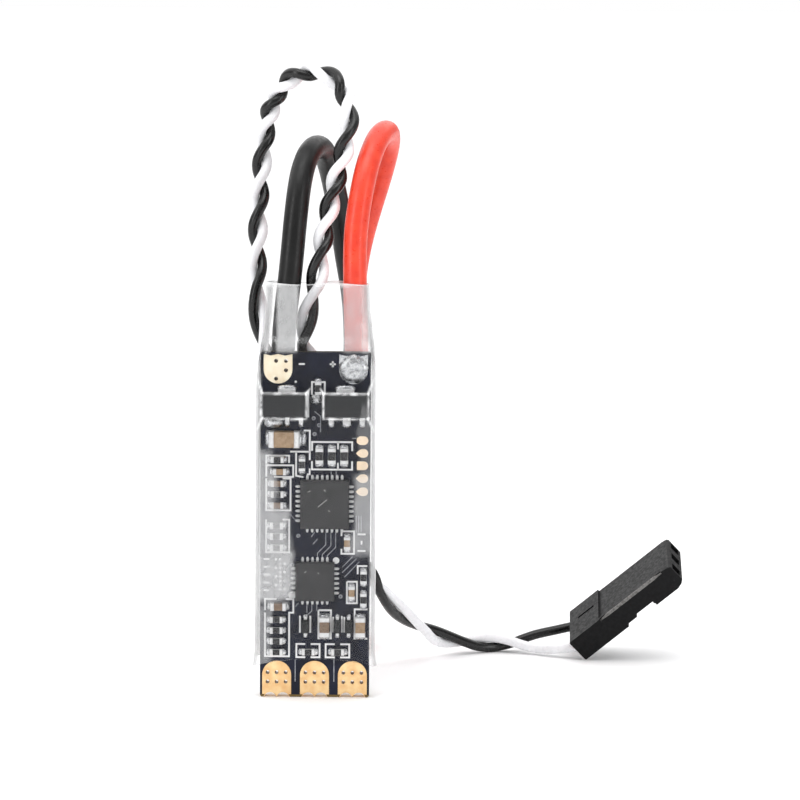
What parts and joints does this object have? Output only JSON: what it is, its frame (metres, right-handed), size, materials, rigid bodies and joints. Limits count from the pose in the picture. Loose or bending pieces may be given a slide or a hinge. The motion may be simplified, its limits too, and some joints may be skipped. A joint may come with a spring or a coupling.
{
  "type": "electronic speed controller",
  "caption": "Narrow speed controller board in clear heat-shrink sleeve, with motor pads at its foot, power leads and a signal pair with a servo plug.",
  "frame": {"origin": "middle of the base of the box around the board and its sleeve, without the leads; the board stands on its motor-pad end", "axes": "+Z along the board, from the motor pads to the battery pads; +X across the board, to the right as seen from its parts side; the parts side faces -Y"},
  "size_m": [0.0465, 0.0379, 0.0642],
  "materials": {
    "solder_mask": "satin dark blue-black solder mask on glass epoxy",
    "gold_plate": "satin gold plate",
    "solder": "satin tin solder",
    "chip_plastic": "matt moulding compound",
    "resistor_glaze": "glazed black",
    "capacitor_ceramic": "satin fired ceramic",
    "clear_sleeve": "glossy clear shrink film",
    "black_silicone": "satin silicone",
    "red_silicone": "satin silicone",
    "white_insulation": "satin insulation",
    "plug_plastic": "matt moulded",
    "contact_metal": "bright crimped strip"
  },
  "bodies": {
    "root": {"circuit_board": "solder_mask", "heat_shrink_sleeve": "clear_sleeve", "motor_pad_left": "gold_plate", "motor_pad_middle": "gold_plate", "motor_pad_right": "gold_plate", "battery_pad_negative": "gold_plate", "battery_pad_positive": "gold_plate", "battery_pad_solder": "solder", "negative_solder_joint": "solder", "positive_solder_joint": "solder", "signal_solder_joint": "solder", "ground_solder_joint": "solder", "microcontroller": "chip_plastic", "gate_driver": "chip_plastic", "voltage_regulator_left": "chip_plastic", "voltage_regulator_right": "chip_plastic", "power_transistor_1": "chip_plastic", "power_transistor_2": "chip_plastic", "power_transistor_3": "chip_plastic", "power_transistor_4": "chip_plastic", "power_transistor_5": "chip_plastic", "power_transistor_6": "chip_plastic", "diode_1": "chip_plastic", "diode_2": "chip_plastic", "diode_3": "chip_plastic", "supply_capacitor": "capacitor_ceramic", "bulk_capacitor_1": "capacitor_ceramic", "bulk_capacitor_2": "capacitor_ceramic", "bulk_capacitor_3": "capacitor_ceramic", "boost_capacitor_1": "capacitor_ceramic", "boost_capacitor_2": "capacitor_ceramic", "boost_capacitor_3": "capacitor_ceramic", "filter_capacitor_1": "capacitor_ceramic", "filter_capacitor_2": "capacitor_ceramic", "filter_capacitor_3": "capacitor_ceramic", "filter_capacitor_4": "capacitor_ceramic", "resistor_1": "resistor_glaze", "resistor_2": "resistor_glaze", "resistor_3": "resistor_glaze", "resistor_4": "resistor_glaze", "resistor_5": "resistor_glaze", "resistor_6": "resistor_glaze", "resistor_7": "resistor_glaze", "resistor_8": "resistor_glaze", "resistor_9": "resistor_glaze", "resistor_10": "resistor_glaze", "resistor_11": "resistor_glaze", "resistor_12": "resistor_glaze", "resistor_13": "resistor_glaze", "resistor_14": "resistor_glaze", "resistor_15": "resistor_glaze", "negative_lead": "black_silicone", "negative_lead_strands": "solder", "positive_lead": "red_silicone", "positive_lead_strands": "solder", "signal_lead": "white_insulation", "plug_housing": "plug_plastic", "signal_contact": "contact_metal", "ground_contact": "contact_metal"}
  },
  "joints": []
}
